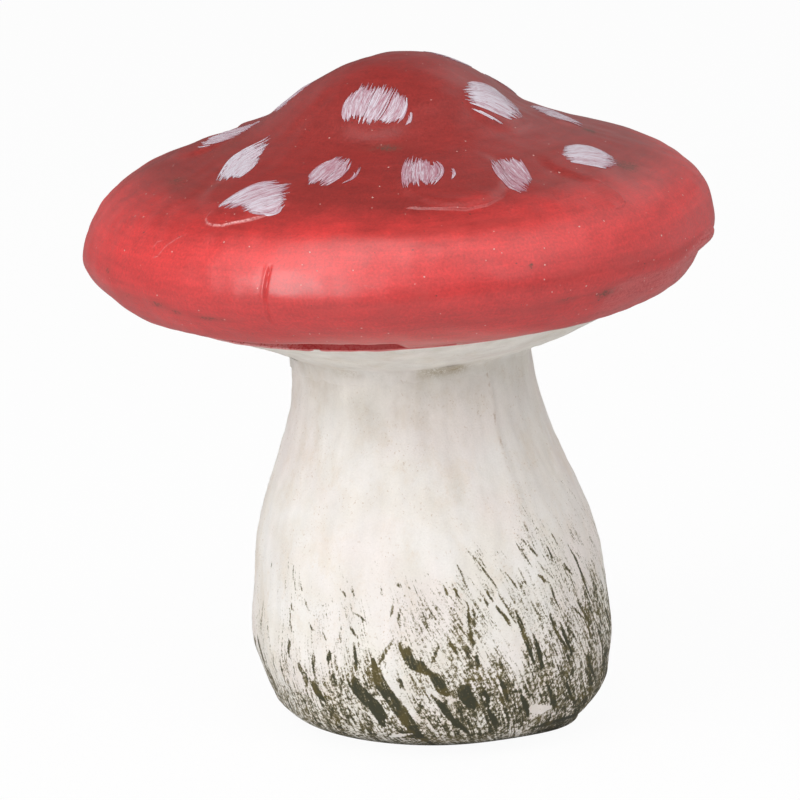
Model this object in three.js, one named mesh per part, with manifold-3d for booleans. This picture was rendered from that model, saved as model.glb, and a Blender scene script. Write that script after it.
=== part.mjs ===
// A hollow earthenware toadstool ornament, hand built from pressed pieces that are luted together with slip.
// Lengths are in millimetres and +Z is up. The origin is on the ground, under the middle of the cap.

import * as THREE from 'three';
import { mergeVertices } from 'three/addons/utils/BufferGeometryUtils.js';
import Module from 'manifold-3d';

const wasm = await Module();
wasm.setup();

// Joints: the luting clay between two pieces, and the hairline that drying leaves on each side of it.
const slipThickness = 1.2;
const hairline = 0.3;
const joint = slipThickness + 2 * hairline;

// Walls of the pressed clay.
const crownWall = 6;
const plateWall = 6;
const stalkWall = 6;
const footSlabThickness = 6;

// Crown, from its top down to the foot of its middle knob. Runs are measured outwards.
const crownHeight = 50.8;
const knobTopRadius = 14;
const knobTopDrop = 2;
const knobRun = 14;
const knobDrop = 7.3;
const flankRun = 12;
const flankDrop = 8.5;
const skirtRun = 12;
const skirtDrop = 5.1;

// Crown, from its widest line up to the brim and down round the rim to the lip. Insets are from the rim.
const rimRadius = 91.8;
const brimInset = 15.8;
const brimRise = 19.2;
const shoulderInset = 5.8;
const shoulderRise = 12.5;
const rimUnderInset = 2.5;
const rimUnderDrop = 7.6;
const bowlInset = 11.1;
const bowlDrop = 15.6;
const lipInset = 24.8;
const lipDrop = 20.7;

// The knob was pressed a little to the right of the rim's middle.
const knobShift = 2.2;
const knobShiftFrom = 14;
const knobShiftRise = 22;

// Plate under the cap: how far it falls from the lip to its flat seat, and the seat's margin round the stalk.
const plateDrop = 16.3;
const seatMargin = 2;
const capVentRadius = 12;

// Cap on stalk: the cap leans to the left, so its right side is the higher one.
const capLean = 3.2;
const neckOffset = 1.3;
const neckBead = 0.6;

// Stalk: radii and heights, from the ground to the belly and from the neck down to the shoulder.
const neckHeight = 109;
const footRadius = 41;
const heelRadius = 48.1;
const heelHeight = 8;
const hipRadius = 51.8;
const hipHeight = 18;
const bellyRadius = 53.1;
const bellyHeight = 32;
const shoulderRadius = 47.6;
const shoulderDrop = 45;
const taperRadius = 42.1;
const taperDrop = 29;
const collarRadius = 36.6;
const collarDrop = 13;
const neckRadius = 35;

// The foot stands to the right of the neck, and is rounded under at its front, back and left.
const stalkLean = 6.9;
const leanPower = 1.95;
const footTuck = 0.19;
const footKick = 2.2;
const tuckHeight = 8;

// The upright join of the stalk's halves, turned from the front to the right, and the slab's drain.
const seamTurn = 38;
const drainRadius = 12;

// The slip at the foot is wiped back this far from the ground.
const slipRecess = 0.8;

// Dabs of white paint on the crown, brushed on thickly.
const dabThickness = 0.4;

// Each dab: turn from the front to the right in degrees, reach over the clay from the top, length of the
// brush stroke, width across it, and the stroke's slant from straight down the slope in degrees.
const dabs = [
  { turn: -13, reach: 30, length: 16, width: 19.5, slant: 10 },
  { turn: 55, reach: 35.5, length: 17, width: 18, slant: 24 },
  { turn: -58, reach: 59, length: 22, width: 11, slant: 24 },
  { turn: -35, reach: 76, length: 19.5, width: 14, slant: -61 },
  { turn: -20, reach: 59, length: 17, width: 12, slant: -40 },
  { turn: 7, reach: 62, length: 16, width: 15.5, slant: 0 },
  { turn: 30, reach: 68.5, length: 17, width: 10, slant: -8 },
  { turn: 59, reach: 70, length: 15, width: 15, slant: 26 },
  { turn: -95, reach: 55, length: 15, width: 17, slant: 15 },
  { turn: -99, reach: 34, length: 12, width: 17, slant: 5 },
  { turn: 103, reach: 14, length: 15, width: 16, slant: 20 },
  { turn: 94, reach: 49.5, length: 16, width: 16, slant: 12 },
  { turn: 128, reach: 36, length: 17, width: 15, slant: -12 },
  { turn: -152, reach: 34, length: 16, width: 17, slant: 18 },
  { turn: -141, reach: 59, length: 16, width: 14, slant: -25 },
  { turn: 172, reach: 62, length: 18, width: 14, slant: 8 },
  { turn: 139, reach: 60, length: 15, width: 16, slant: 30 },
  { turn: -164, reach: 78, length: 15, width: 17, slant: -10 },
  { turn: 157, reach: 79, length: 17, width: 13, slant: 22 },
  { turn: -141, reach: 80, length: 14, width: 14, slant: 15 },
];

// Low warts that the mould left on the crown, most of them under a dab: turn, reach, radius and rise.
const warts = [
  { turn: -13, reach: 32, radius: 14, rise: 1.2 },
  { turn: 55, reach: 37, radius: 12, rise: 0.9 },
  { turn: 88, reach: 23, radius: 8, rise: 0.8 },
  { turn: 15, reach: 64.5, radius: 17.5, rise: 1.3 },
  { turn: 55, reach: 69.5, radius: 15, rise: 1.5 },
  { turn: -38, reach: 69, radius: 15.5, rise: 1.3 },
  { turn: -95, reach: 61, radius: 13, rise: 1.1 },
  { turn: 94, reach: 50, radius: 12, rise: 0.9 },
  { turn: 128, reach: 37, radius: 12, rise: 1 },
  { turn: -152, reach: 35, radius: 13, rise: 1.1 },
  { turn: -141, reach: 62, radius: 15, rise: 1.3 },
  { turn: 168, reach: 65, radius: 16, rise: 1.3 },
];

const degrees = Math.PI / 180;
const outlineSteps = 20;

function smoothstep(value) {
  const t = THREE.MathUtils.clamp(value, 0, 1);
  return t * t * (3 - 2 * t);
}

// A smooth outline through points of radius and height, walked by the distance along it.
class Outline {
  constructor(points, crossesAxis) {
    const before = crossesAxis ? [new THREE.Vector2(-points[1].x, points[1].y)] : [];
    this.curve = new THREE.SplineCurve([...before, ...points]);
    this.curve.arcLengthDivisions = outlineSteps * (this.curve.points.length - 1);
    this.start = this.curve.getLengths()[before.length * outlineSteps];
    this.length = this.curve.getLength() - this.start;
  }

  at(distance) {
    return this.curve.getPointAt(Math.min(1, (this.start + distance) / (this.start + this.length)));
  }

  // Points out of the clay, for an outline that runs outwards and then down.
  normalAt(distance) {
    const along = this.curve.getTangentAt(Math.min(1, (this.start + distance) / (this.start + this.length)));
    return new THREE.Vector2(-along.y, along.x);
  }
}

const point = (radius, height) => new THREE.Vector2(radius, height);

const knobRadius = knobTopRadius + knobRun;
const knobShoulder = crownHeight - knobTopDrop - knobDrop;
const crownOutline = new Outline([
  point(0, crownHeight),
  point(knobTopRadius, crownHeight - knobTopDrop),
  point(knobRadius, knobShoulder),
  point(knobRadius + flankRun, knobShoulder - flankDrop),
  point(knobRadius + flankRun + skirtRun, knobShoulder - flankDrop - skirtDrop),
  point(rimRadius - brimInset, brimRise),
  point(rimRadius - shoulderInset, shoulderRise),
  point(rimRadius, 0),
  point(rimRadius - rimUnderInset, -rimUnderDrop),
  point(rimRadius - bowlInset, -bowlDrop),
  point(rimRadius - lipInset, -lipDrop),
], true);

const shellPoint = (outline, distance, depth) =>
  outline.at(distance).addScaledVector(outline.normalAt(distance), -depth);

// The crown's skin as a flat map: the distance from the top along the outline, and the turn from the front.
function mapPlace(reach, turn) {
  return new THREE.Vector2(Math.sin(turn), -Math.cos(turn)).multiplyScalar(reach);
}

// Steps down the slope and to the right of a place, corrected for the skin being narrower than its map.
function stepOnMap(reach, turn, down, right) {
  const stretch = reach / crownOutline.at(reach).x;
  const outwards = mapPlace(1, turn);
  const sideways = new THREE.Vector2(-outwards.y, outwards.x);
  return mapPlace(reach, turn).addScaledVector(outwards, down).addScaledVector(sideways, right * stretch);
}

function wartRise(place) {
  let rise = 0;
  for (const wart of warts) {
    const centre = mapPlace(wart.reach, wart.turn * degrees);
    const away = place.distanceTo(centre) / wart.radius;
    rise += wart.rise * (1 - smoothstep(away));
  }
  return rise;
}

function shiftKnob(position) {
  position.x += knobShift * smoothstep((position.z - knobShiftFrom) / knobShiftRise);
  return position;
}

// A point on the crown's skin, raised from it by a height.
function crownSkin(place, height) {
  const reach = place.length();
  const turn = Math.atan2(place.x, -place.y);
  const raised = shellPoint(crownOutline, reach, -height - wartRise(place));
  return shiftKnob(new THREE.Vector3(raised.x * Math.sin(turn), -raised.x * Math.cos(turn), raised.y));
}

// Turns a profile of radius and height about the upright axis.
function turned(profile, sides) {
  return new THREE.LatheGeometry(profile, sides).rotateX(Math.PI / 2);
}

function plainMesh(geometry) {
  const plain = geometry.clone();
  plain.deleteAttribute('normal');
  plain.deleteAttribute('uv');
  return mergeVertices(plain, 1e-4);
}

function movePoints(geometry, move) {
  const positions = geometry.attributes.position;
  const position = new THREE.Vector3();
  for (let i = 0; i < positions.count; i += 1) {
    position.fromBufferAttribute(positions, i);
    move(position, i);
    positions.setXYZ(i, position.x, position.y, position.z);
  }
  return geometry;
}

function toSolid(geometry) {
  const plain = plainMesh(geometry);
  const vertProperties = new Float32Array(plain.attributes.position.array);
  const triVerts = new Uint32Array(plain.index.array);
  return new wasm.Manifold(new wasm.Mesh({ numProp: 3, vertProperties, triVerts }));
}

function fromSolid(solid) {
  const mesh = solid.getMesh();
  const geometry = new THREE.BufferGeometry();
  geometry.setAttribute('position', new THREE.BufferAttribute(mesh.vertProperties, 3));
  geometry.setIndex(new THREE.BufferAttribute(mesh.triVerts, 1));
  return geometry;
}

function piece(name, geometry, material) {
  const mesh = new THREE.Mesh(geometry, material);
  mesh.name = name;
  return mesh;
}

const redPaint = () => new THREE.MeshStandardMaterial({ color: '#a3161c', roughness: 0.42, metalness: 0 });
const whitewash = () => new THREE.MeshStandardMaterial({ color: '#e6e2d6', roughness: 0.72, metalness: 0 });
const dabPaint = () => new THREE.MeshStandardMaterial({ color: '#ddc9d6', roughness: 0.6, metalness: 0 });
const rawClay = () => new THREE.MeshStandardMaterial({ color: '#b5643c', roughness: 0.85, metalness: 0 });

// Crown: one pressed dome whose outer skin carries the warts.
const crownSides = 60;
const outerRings = 26;
const innerRings = 11;

function buildCrown() {
  const profile = [];
  for (let ring = 0; ring <= innerRings; ring += 1) {
    profile.push(shellPoint(crownOutline, crownOutline.length * ring / innerRings, crownWall));
  }
  for (let ring = outerRings; ring >= 0; ring -= 1) {
    profile.push(shellPoint(crownOutline, crownOutline.length * ring / outerRings, 0));
  }
  profile[0].x = 0;
  profile[profile.length - 1].x = 0;
  return movePoints(turned(profile, crownSides), (position, index) => {
    const ring = profile.length - 1 - index % profile.length;
    if (ring > outerRings) {
      shiftKnob(position);
      return;
    }
    const turn = Math.atan2(position.x, -position.y);
    position.copy(crownSkin(mapPlace(crownOutline.length * ring / outerRings, turn), 0));
  });
}

// Plate: a shallow cone hung from the lip, with a flat seat for the stalk and a vent in its middle.
const lip = crownOutline.at(crownOutline.length);
const lipOut = crownOutline.normalAt(crownOutline.length);
const lipAlong = new THREE.Vector2(lipOut.y, -lipOut.x);
const seatRadius = neckRadius + neckOffset + seatMargin;
const seatDepth = lipDrop + plateDrop;

const lipPoint = (along, depth) => lip.clone().addScaledVector(lipAlong, along).addScaledVector(lipOut, -depth);

function buildPlate() {
  const edge = lipPoint(joint, 0);
  const slope = Math.atan2(seatDepth + edge.y, edge.x - seatRadius);
  const seatInner = seatRadius - plateWall * Math.tan(slope / 2);
  return turned([
    point(capVentRadius, -seatDepth),
    point(seatRadius, -seatDepth),
    edge,
    lipPoint(joint, plateWall),
    point(seatInner, plateWall - seatDepth),
    point(capVentRadius, plateWall - seatDepth),
    point(capVentRadius, -seatDepth),
  ], crownSides);
}

// Rim slip: the strip of luting clay between the lip and the plate's edge.
function buildRimSlip() {
  const near = hairline;
  const far = hairline + slipThickness;
  const depth = Math.min(crownWall, plateWall);
  return turned([
    lipPoint(near, 0), lipPoint(near, depth), lipPoint(far, depth), lipPoint(far, 0), lipPoint(near, 0),
  ], crownSides);
}

// Stalk: its outline from the ground to the neck, and past it to leave clay for the slanting cut.
const capTurn = capLean * degrees;
const cutAllowance = 2 * neckRadius * Math.tan(capTurn);
const neckCentre = (seatDepth + joint) * Math.sin(capTurn) + neckOffset;
const stalkTop = neckHeight + cutAllowance;
const stalkOutline = new THREE.SplineCurve([
  point(footRadius, 0),
  point(heelRadius, heelHeight),
  point(hipRadius, hipHeight),
  point(bellyRadius, bellyHeight),
  point(shoulderRadius, neckHeight - shoulderDrop),
  point(taperRadius, neckHeight - taperDrop),
  point(collarRadius, neckHeight - collarDrop),
  point(neckRadius, neckHeight),
  point(neckRadius, stalkTop),
]);
const stalkSamples = stalkOutline.getPoints(outlineSteps * stalkOutline.points.length);

// The stalk's radius at a height, less a depth of clay measured square to its wall.
function stalkRadius(height, depth = 0) {
  let index = 1;
  while (index < stalkSamples.length - 1 && stalkSamples[index].y < height) index += 1;
  const low = stalkSamples[index - 1];
  const high = stalkSamples[index];
  const slope = (high.x - low.x) / (high.y - low.y);
  return low.x + slope * (height - low.y) - depth * Math.hypot(1, slope);
}

// Leans a piece of the stalk as the whole stalk leans, and rounds its foot under.
function leanStalk(position) {
  const low = THREE.MathUtils.clamp(1 - position.z / tuckHeight, 0, 1);
  const risen = THREE.MathUtils.clamp(position.z / neckHeight, 0, 1);
  position.y *= 1 - footTuck * low ** 2;
  position.x += neckCentre + stalkLean * (1 - risen ** leanPower) + footKick * low ** 3;
}

const stalkSides = 52;
const footRings = 3;
const outerStalkRings = 18;
const innerStalkRings = 8;

const footHeights = Array.from({ length: footRings + 1 }, (_, i) => footSlabThickness * i / footRings);

// Heights from the ground to the cut stock at the neck, closer together in the foot.
function stalkHeights(rings) {
  const above = Array.from({ length: rings }, (_, i) => (
    footSlabThickness + (stalkTop - footSlabThickness) * (i + 1) / rings
  ));
  return [...footHeights, ...above];
}

function buildStalkShell() {
  const outer = stalkHeights(outerStalkRings).map((height) => point(stalkRadius(height), height));
  const inner = stalkHeights(innerStalkRings).map((height) => point(stalkRadius(height, stalkWall), height));
  return toSolid(turned([...outer, ...inner.reverse(), outer[0]], stalkSides));
}

// A box square to the stalk's join: its extent across the join, and along it towards the front.
const stockReach = 2 * (neckHeight + bellyRadius);
function seamBlock(across, along) {
  const block = new THREE.BoxGeometry(across[1] - across[0], along[1] - along[0], stockReach);
  block.translate((across[0] + across[1]) / 2, -(along[0] + along[1]) / 2, 0);
  return toSolid(block.rotateZ(seamTurn * degrees));
}

// Everything below a height.
function groundCutter(height) {
  const block = new THREE.BoxGeometry(stockReach, stockReach, stockReach);
  return toSolid(block.translate(0, 0, height - stockReach / 2));
}

// Everything above the neck's slip, in the cap's leaning frame.
const capHeight = neckHeight + (seatDepth + joint) * Math.cos(capTurn);
const capPlace = new THREE.Matrix4().makeRotationY(-capTurn).setPosition(0, 0, capHeight);
function neckCutter() {
  const block = new THREE.BoxGeometry(stockReach, stockReach, stockReach);
  block.translate(0, 0, stockReach / 2 - seatDepth - joint);
  return toSolid(block.applyMatrix4(capPlace));
}

const stalkShell = buildStalkShell();
const aboveNeck = neckCutter();

// A piece of the stalk's wall: cut from the straight shell, leaned, and trimmed at the ground and the neck.
function stalkPiece(block, bottom = 0) {
  const straight = fromSolid(stalkShell.intersect(block));
  const leaning = toSolid(movePoints(straight, leanStalk));
  return fromSolid(leaning.subtract(aboveNeck).subtract(groundCutter(bottom)));
}

// Neck slip: the ring of luting clay on the stalk's cut top, squeezed out a little all round.
function buildNeckSlip() {
  const top = -seatDepth - hairline;
  const bottom = top - slipThickness;
  const inner = neckRadius - stalkWall;
  const outer = neckRadius + neckBead;
  return turned([
    point(inner, bottom), point(outer, bottom), point(outer, top), point(inner, top), point(inner, bottom),
  ], stalkSides);
}

// Foot slab, with its drain cut straight through it, and the ring of slip that lutes it into the foot.
const drainSides = 32;

function buildFootSlab() {
  const edge = footHeights.map((height) => point(stalkRadius(height, stalkWall) - joint, height));
  const profile = [point(0, 0), ...edge, point(0, footSlabThickness)];
  const slab = toSolid(movePoints(turned(profile, stalkSides), leanStalk));
  const drain = new THREE.CylinderGeometry(drainRadius, drainRadius, 4 * footSlabThickness, drainSides);
  drain.rotateX(Math.PI / 2).translate(neckCentre + stalkLean, 0, 0);
  return fromSolid(slab.subtract(toSolid(drain)));
}

function buildFootSlip() {
  const heights = footHeights.map((height) => Math.max(height, slipRecess));
  const ring = (inset) => heights.map((height) => point(stalkRadius(height, stalkWall) - inset, height));
  const outer = ring(hairline);
  const inner = ring(hairline + slipThickness).reverse();
  const profile = [...outer, ...inner, outer[0]];
  return movePoints(turned(profile, stalkSides), leanStalk);
}

// A dab of paint: a thin skin that lies a hairline above the crown, thinner at its edge.
const dabSides = 14;
const dabMiddle = 0.6;

function buildDab(dab) {
  const top = hairline + dabThickness;
  const skin = turned([
    point(0, hairline), point(dabMiddle, hairline), point(1, hairline),
    point(1, hairline + dabThickness / 2), point(dabMiddle, top), point(0, top),
  ], dabSides);
  const turn = dab.turn * degrees;
  const slant = dab.slant * degrees;
  return movePoints(skin, (position) => {
    const stroke = -position.y * dab.length / 2;
    const across = position.x * dab.width / 2;
    const down = stroke * Math.cos(slant) - across * Math.sin(slant);
    const right = stroke * Math.sin(slant) + across * Math.cos(slant);
    position.copy(crownSkin(stepOnMap(dab.reach, turn, down, right), position.z));
  });
}

const cap = new THREE.Group();
cap.position.set(0, 0, capHeight);
cap.rotation.y = -capTurn;
cap.add(piece('cap_crown', plainMesh(buildCrown()), redPaint()));
cap.add(piece('cap_underside', plainMesh(buildPlate()), whitewash()));
cap.add(piece('rim_slip', plainMesh(buildRimSlip()), redPaint()));
const neckSlip = piece('neck_slip', plainMesh(buildNeckSlip()), whitewash());
neckSlip.position.x = neckOffset;
cap.add(neckSlip);
dabs.forEach((dab, index) => {
  cap.add(piece(`paint_dab_${index + 1}`, plainMesh(buildDab(dab)), dabPaint()));
});

const leftOfSeam = [-stockReach, -joint / 2];
const rightOfSeam = [joint / 2, stockReach];
const insideSeam = [-slipThickness / 2, slipThickness / 2];
const wholeLength = [-stockReach, stockReach];
const frontLength = [0, stockReach];
const backLength = [-stockReach, 0];
const stalk = new THREE.Group();
stalk.add(piece('stalk_half_left', stalkPiece(seamBlock(leftOfSeam, wholeLength)), whitewash()));
stalk.add(piece('stalk_half_right', stalkPiece(seamBlock(rightOfSeam, wholeLength)), whitewash()));
stalk.add(piece('seam_slip_front', stalkPiece(seamBlock(insideSeam, frontLength), slipRecess), whitewash()));
stalk.add(piece('seam_slip_back', stalkPiece(seamBlock(insideSeam, backLength), slipRecess), whitewash()));
stalk.add(piece('foot_slab', plainMesh(buildFootSlab()), rawClay()));
stalk.add(piece('foot_slip', plainMesh(buildFootSlip()), rawClay()));

const ornament = new THREE.Group();
ornament.add(stalk, cap);
export default ornament;
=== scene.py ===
import math

import bpy
import numpy as np
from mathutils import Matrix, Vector


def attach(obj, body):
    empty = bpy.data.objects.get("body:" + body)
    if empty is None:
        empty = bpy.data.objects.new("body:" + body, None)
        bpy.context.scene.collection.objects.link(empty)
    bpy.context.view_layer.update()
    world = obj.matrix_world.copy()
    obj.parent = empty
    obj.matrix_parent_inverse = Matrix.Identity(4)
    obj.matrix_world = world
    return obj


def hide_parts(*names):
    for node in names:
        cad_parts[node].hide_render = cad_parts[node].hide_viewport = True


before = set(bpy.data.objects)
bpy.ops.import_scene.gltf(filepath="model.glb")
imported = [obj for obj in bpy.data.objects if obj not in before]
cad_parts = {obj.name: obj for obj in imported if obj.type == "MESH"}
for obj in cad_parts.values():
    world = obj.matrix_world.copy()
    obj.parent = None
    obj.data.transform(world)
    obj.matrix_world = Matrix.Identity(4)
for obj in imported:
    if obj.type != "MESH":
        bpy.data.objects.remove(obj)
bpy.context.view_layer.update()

# Studio: white paper that runs up behind the ornament, and a camera a little above it that looks slightly
# down. A wide soft light hangs high at the left over a low oval one, weaker ones at the right and behind.
scene = bpy.context.scene
scene.view_settings.view_transform = "Standard"

camera_distance = 1.5
camera_rise = math.radians(14)
aim = Vector((0.00044, 0, 0.0958))
towards_camera = Vector((0, -math.cos(camera_rise), math.sin(camera_rise)))
bpy.ops.object.camera_add(
    location=aim + camera_distance * towards_camera,
    rotation=(math.pi / 2 - camera_rise, 0, 0),
)
camera = bpy.context.object
camera.data.lens = 229.8
scene.camera = camera


class Finish:
    """A socket in a finish's node tree. Sums on it add the nodes that work them out."""

    def __init__(self, tree, socket=None):
        self.tree = tree
        self.socket = socket

    def node(self, kind, settings=None, inputs=None, output=0):
        made = self.tree.nodes.new(kind)
        for name, value in (settings or {}).items():
            setattr(made, name, value)
        for name, value in (inputs or {}).items():
            socket = made.inputs[name]
            if isinstance(value, Finish):
                self.tree.links.new(value.socket, socket)
            else:
                socket.default_value = value
        return Finish(self.tree, made.outputs[output])

    def feed(self, shader, name):
        self.tree.links.new(self.socket, shader.inputs[name])

    def sum(self, operation, first, second):
        return self.node("ShaderNodeMath", {"operation": operation}, {0: first, 1: second})

    def __add__(self, other):
        return self.sum("ADD", self, other)

    def __sub__(self, other):
        return self.sum("SUBTRACT", self, other)

    def __rsub__(self, other):
        return self.sum("SUBTRACT", other, self)

    def __mul__(self, other):
        return self.sum("MULTIPLY", self, other)

    __radd__ = __add__
    __rmul__ = __mul__

    def larger(self, other):
        return self.sum("MAXIMUM", self, other)

    def between(self, low, high):
        """0 up to low, 1 from high on, and an even change from one to the other."""
        return self.node(
            "ShaderNodeMapRange",
            {"interpolation_type": "SMOOTHSTEP"},
            {"Value": self, "From Min": low, "From Max": high},
        )

    def shade(self, first, second):
        """The first colour where this is 0 and the second where it is 1."""
        mixed = self.node("ShaderNodeMix", {"data_type": "RGBA"}, {0: self}, output=2)
        for index, colour in ((6, first), (7, second)):
            socket = mixed.socket.node.inputs[index]
            if isinstance(colour, Finish):
                self.tree.links.new(colour.socket, socket)
            else:
                socket.default_value = (*colour, 1)
        return mixed

    def stretched(self, scale):
        return self.node("ShaderNodeVectorMath", {"operation": "MULTIPLY"}, {0: self, 1: scale})

    def scaled(self, factor):
        return self.node("ShaderNodeVectorMath", {"operation": "SCALE"}, {0: self, "Scale": factor})

    def relief(self, shader, distance):
        """Feeds this height, of a distance in metres, to a shader as bumps."""
        bumps = self.node("ShaderNodeBump", {}, {"Height": self, "Distance": distance, "Strength": 1.0})
        bumps.feed(shader, "Normal")

    def grain(self, size, detail=2.0, roughness=0.5):
        """Noise from 0 to 1 at this place, with grains of a size in the place's own unit."""
        return self.node(
            "ShaderNodeTexNoise",
            {},
            {"Vector": self, "Scale": 1 / size, "Detail": detail, "Roughness": roughness},
        )

    def kept(self, name, output="Fac"):
        """What the points of a piece keep under a name."""
        return self.node("ShaderNodeAttribute", {"attribute_name": name}, output=output)

    def place(self):
        """The place on the piece, in millimetres."""
        return self.node("ShaderNodeTexCoord", output="Object").stretched((1000, 1000, 1000))

    def part(self, kind, index):
        """One of the three parts of a direction, a place or a colour."""
        return self.node(kind, {}, {0: self}, output=index)


def new_finish(name):
    material = bpy.data.materials.new(name)
    material.use_nodes = True
    return material, Finish(material.node_tree), material.node_tree.nodes["Principled BSDF"]


bpy.ops.mesh.primitive_plane_add(size=10, location=(0, 0, -0.00005))
floor = bpy.context.object
floor.name = "floor"
paper_finish, paper, paper_shader = new_finish("white_paper")
paper_shader.inputs["Base Color"].default_value = (0.86, 0.86, 0.86, 1)
paper_shader.inputs["Roughness"].default_value = 0.9
paper_shader.inputs["Specular IOR Level"].default_value = 0.2
seen = paper.node("ShaderNodeLightPath", output="Is Camera Ray")
mirrored = paper.node("ShaderNodeLightPath", output="Is Glossy Ray")
glow = paper.node("ShaderNodeEmission", {}, {"Color": (1, 1, 1, 1), "Strength": seen * 0.8 + 0.2})
lit = Finish(paper.tree, paper_shader.outputs[0])
glowing = (seen * 0.95).larger(mirrored * 0.65)
paper_look = paper.node("ShaderNodeMixShader", {}, {0: glowing, 1: lit, 2: glow})
paper_look.feed(paper.tree.nodes["Material Output"], "Surface")
floor.data.materials.append(paper_finish)

world = bpy.data.worlds.new("white_walls")
scene.world = world
world.use_nodes = True
walls = Finish(world.node_tree)
walls_shader = world.node_tree.nodes["Background"]
direction = walls.node("ShaderNodeTexCoord", output="Generated")
side, depth, height = (direction.part("ShaderNodeSeparateXYZ", axis) for axis in range(3))
seen = walls.node("ShaderNodeLightPath", output="Is Camera Ray")
mirrored = walls.node("ShaderNodeLightPath", output="Is Glossy Ray")

# The camera sees plain white. The paint mirrors dim walls, paler behind at the left and at the right.
behind = (1 - (height - side.larger(0) * 0.5).between(0.52, 0.62)) * depth.between(-0.5, 0.1)
low = 1 - height.between(0.10, 0.35)
right = height.between(0.46, 0.56) * 0.37 + low * 0.26 + side.between(0.55, 0.85) * 0.2 + 0.14
left = (1 - side.between(-0.32, -0.12)) * 0.28
paler = behind * (side.between(-0.25, 0.1) * right + left - 0.06)
level = (0.30 - mirrored * 0.20 + paler).larger(seen)
level.shade((0, 0, 0), (1, 1, 1)).feed(walls_shader, "Color")


def soft_light(name, turn, rise, distance, width, depth, power, shape="RECTANGLE"):
    """A lamp that faces the ornament from a turn to the right of the camera and a rise, in degrees."""
    turn, rise = math.radians(turn), math.radians(rise)
    away = Vector((math.sin(turn) * math.cos(rise), -math.cos(turn) * math.cos(rise), math.sin(rise)))
    bpy.ops.object.light_add(
        type="AREA",
        location=aim + distance * away,
        rotation=away.to_track_quat("Z", "Y").to_euler(),
    )
    lamp = bpy.context.object
    lamp.name = name
    lamp.data.shape = shape
    lamp.data.size = width
    lamp.data.size_y = depth
    lamp.data.energy = power


soft_light("key_light", turn=-35, rise=52, distance=1.7, width=1.4, depth=1.4, power=13.8)
soft_light(
    "low_light", turn=-43, rise=22, distance=1.6, width=1.0, depth=0.2, power=7.4, shape="ELLIPSE"
)
soft_light("fill_light", turn=46, rise=44, distance=1.8, width=1.5, depth=1.5, power=7.8)
soft_light("rim_light", turn=144, rise=36, distance=2.0, width=1.2, depth=0.5, power=1.2)

# Crown of the cap: one dome of pressed red earthenware, hollow inside, with low warts from the mould.
# Its outline is turned about the cap's own axis, the knob is pushed aside and the cap leans to the left.
slip_thickness = 1.2
hairline = 0.3
joint = slip_thickness + 2 * hairline
wall = 6.0
crown_points = [
    (0, 50.8), (14, 48.8), (28, 41.5), (40, 33), (52, 27.9), (76, 19.2),
    (86, 12.5), (91.8, 0), (89.3, -7.6), (80.7, -15.6), (67, -20.7),
]
lip_drop = 20.7
plate_drop = 16.3
neck_height = 109.0
cap_lean = math.radians(3.2)
seat_depth = lip_drop + plate_drop
cap_height = neck_height + (seat_depth + joint) * math.cos(cap_lean)
metre = 0.001


def smoothstep(value):
    value = np.clip(value, 0, 1)
    return value * value * (3 - 2 * value)


def smooth_line(points, from_axis=False, pieces=120):
    """A smooth line through points of radius and height."""
    knots = np.array(points, float)
    if from_axis:
        knots = np.vstack([knots[1] * (-1, 1), knots])
    padded = np.vstack([knots[:1], knots, knots[-1:]])
    share = np.linspace(0, 1, pieces, endpoint=False)[:, None]
    line = []
    for before, start, end, after in zip(padded, padded[1:], padded[2:], padded[3:]):
        first, second = (end - before) / 2, (after - start) / 2
        line.append(
            (2 * start - 2 * end + first + second) * share**3
            + (3 * end - 3 * start - 2 * first - second) * share**2
            + first * share
            + start
        )
    line = np.vstack([*line, knots[-1:]])
    return line[pieces:] if from_axis else line


class Outline:
    """A turned piece's outline, walked by the distance over the clay."""

    def __init__(self, line):
        self.line = line
        self.reach = np.concatenate([[0], np.cumsum(np.hypot(*np.diff(line, axis=0).T))])
        self.length = self.reach[-1]

    def at(self, reach, depth=0.0):
        """Radius and height at a reach, a depth of clay below the skin."""
        radius, height = (np.interp(reach, self.reach, side) for side in self.line.T)
        step = 0.05
        ahead, behind = (
            np.stack([np.interp(reach + move, self.reach, side) for side in self.line.T])
            for move in (step, -step)
        )
        along = (ahead - behind) / np.linalg.norm(ahead - behind, axis=0)
        return radius + along[1] * depth, height - along[0] * depth


def around(radius, turn, height):
    """Places at a radius, a turn from the front to the right and a height."""
    return np.stack([radius * np.sin(turn), -radius * np.cos(turn), height], axis=1)


def turn_from(turn, middle):
    """How far a turn is past a middle one, the short way round."""
    return np.mod(turn - middle + math.pi, 2 * math.pi) - math.pi


def start_picking(kind):
    """Leaves nothing of the mesh picked, so that the script can pick its points or faces."""
    bpy.ops.object.mode_set(mode="EDIT")
    bpy.ops.mesh.select_mode(type=kind)
    bpy.ops.mesh.select_all(action="DESELECT")
    bpy.ops.object.mode_set(mode="OBJECT")


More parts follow.
